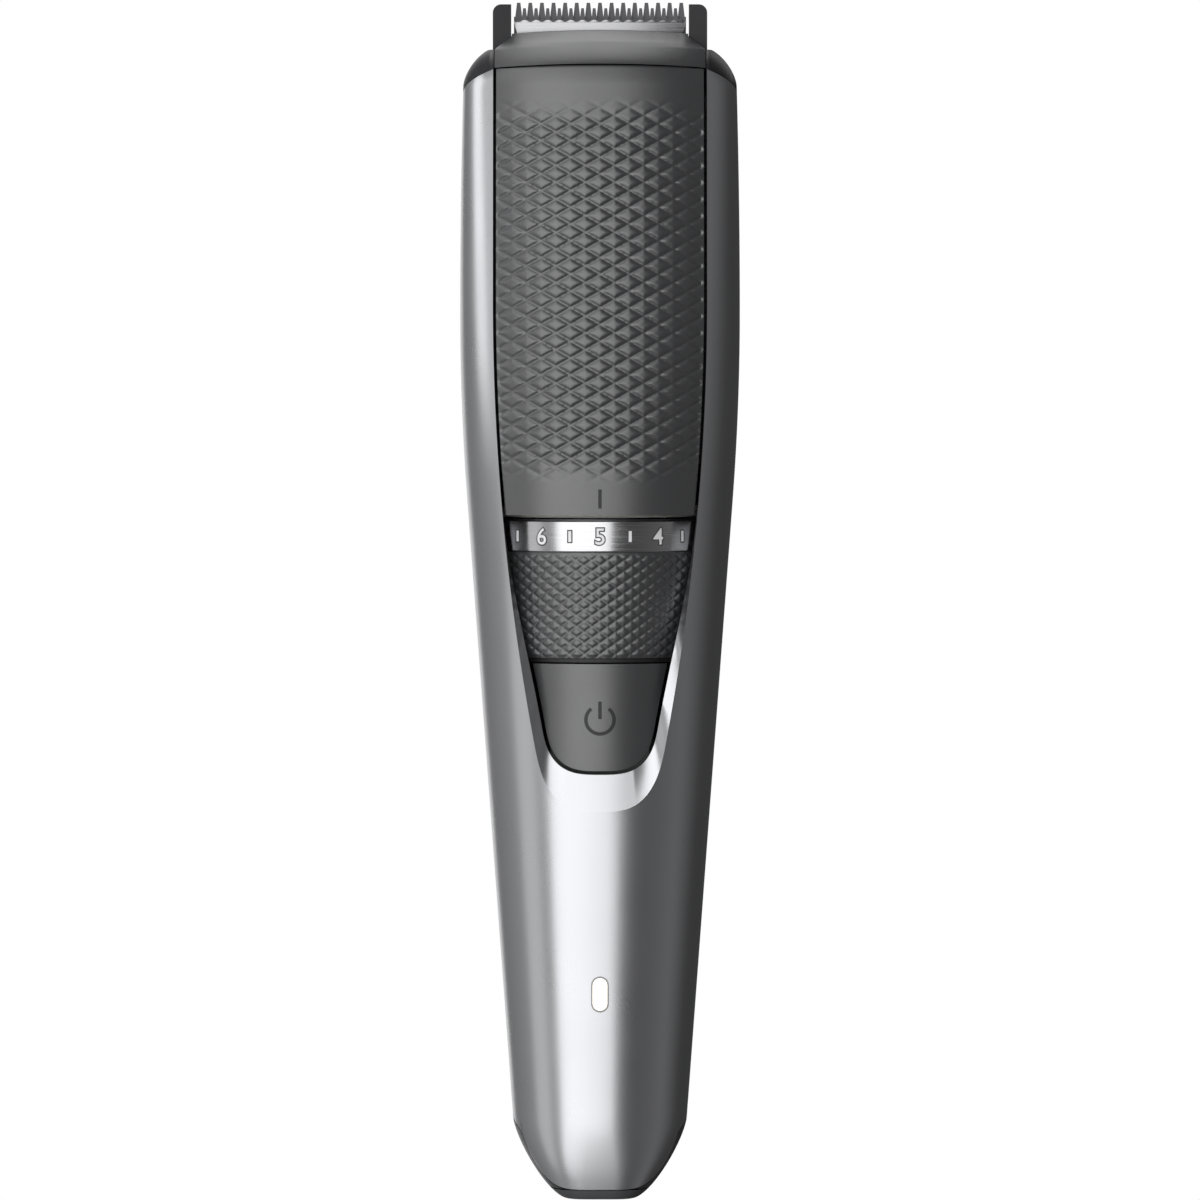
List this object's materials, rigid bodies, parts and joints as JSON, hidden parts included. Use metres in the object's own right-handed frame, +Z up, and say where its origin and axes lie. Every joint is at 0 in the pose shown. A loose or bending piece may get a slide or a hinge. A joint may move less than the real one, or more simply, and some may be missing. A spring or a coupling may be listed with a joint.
{
  "type": "beard trimmer",
  "caption": "Cordless beard trimmer: tapered two-tone grip with a diamond-relief panel, knurled length wheel with a scale ring, power button, and a toothed cutter head between comb arms.",
  "frame": {"origin": "centre of the bounding box, on the plane of the flat base", "axes": "+Z up along the grip to the blades, -Y out of the front with the button, +X to the right seen from the front"},
  "size_m": [0.04, 0.0367, 0.1704],
  "materials": {
    "silver_shell": "satin silver lacquer on moulded plastic",
    "dark_shell": "fine-textured charcoal moulding",
    "grip": "matte charcoal moulding",
    "black_plastic": "satin black moulding",
    "satin_ring": "satin metal with dark engraved digits",
    "blade_steel": "ground stainless steel",
    "plain_steel": "zinc-plated steel",
    "light_window": "clear light guide, lit warm white",
    "nylon": "natural moulded nylon",
    "brass": "plain brass",
    "board": "green solder mask",
    "cell": "shrink-wrapped cell",
    "magnet": "sintered ferrite",
    "rubber": "moulded silicone rubber"
  },
  "bodies": {
    "handle": {"front_shell": "silver_shell", "rear_shell": "dark_shell", "grip_panel": "grip", "shoulder_collar": "black_plastic", "base_cap": "dark_shell", "led_window": "light_window", "led": "light_window", "circuit_board": "board", "tact_switch": "black_plastic", "battery_cell": "cell", "battery_tab_positive": "plain_steel", "battery_tab_negative": "plain_steel", "chassis": "nylon", "wheel_retainer": "nylon", "detent_spring": "plain_steel", "drive_frame": "nylon", "motor_can": "plain_steel", "motor_end_cap": "black_plastic", "motor_magnets": "magnet", "motor_bearing": "brass", "motor_screws": "plain_steel", "collar_screws": "plain_steel", "drive_seal": "rubber", "charging_socket": "black_plastic", "socket_pin": "brass"},
    "rotor": {"motor_shaft": "plain_steel", "armature": "plain_steel", "commutator": "brass", "eccentric": "nylon"},
    "length_wheel": {"length_wheel": "grip", "scale_ring": "satin_ring", "cam_sleeve": "nylon"},
    "comb_carrier": {"comb_carrier": "black_plastic", "cam_follower": "plain_steel"},
    "cutter_head": {"head_cover": "grip", "head_base": "black_plastic", "guard_blade": "blade_steel", "blade_clamp": "blade_steel", "blade_spring": "plain_steel", "blade_screws": "plain_steel"},
    "moving_blade": {"cutter_blade": "blade_steel", "drive_bridge": "nylon"},
    "power_button": {"power_button": "grip", "button_plunger": "rubber"}
  },
  "joints": [
    {"name": "length_wheel_turn", "type": "hinge", "parent": "handle", "child": "length_wheel", "pos_m": [0, 0, 0.087], "axis": [0, 0, 1], "range_deg": [-135, 150]},
    {"name": "comb_carrier_slide", "type": "slide", "parent": "handle", "child": "comb_carrier", "axis": [0, 0, 1], "range_m": [-0.00451, 0.00501]},
    {"name": "power_button_press", "type": "slide", "parent": "handle", "child": "power_button", "axis": [0, 1, 0], "range_m": [0, 0.0006], "stiffness_N_per_m": 1500, "springref_m": -0.0004},
    {"name": "motor_spin", "type": "hinge", "parent": "handle", "child": "rotor", "pos_m": [0, 0, 0.132], "axis": [0, 0, 1], "continuous": true},
    {"name": "head_lift", "type": "slide", "parent": "handle", "child": "cutter_head", "axis": [0, 0, 1], "range_m": [0, 0.02]},
    {"name": "blade_stroke", "type": "slide", "parent": "cutter_head", "child": "moving_blade", "axis": [1, 0, 0], "range_m": [-0.0008, 0.0008]}
  ],
  "couplings": [
    {"joint": "comb_carrier_slide", "follows": "length_wheel_turn", "m_per_rad": 0.0019099}
  ]
}
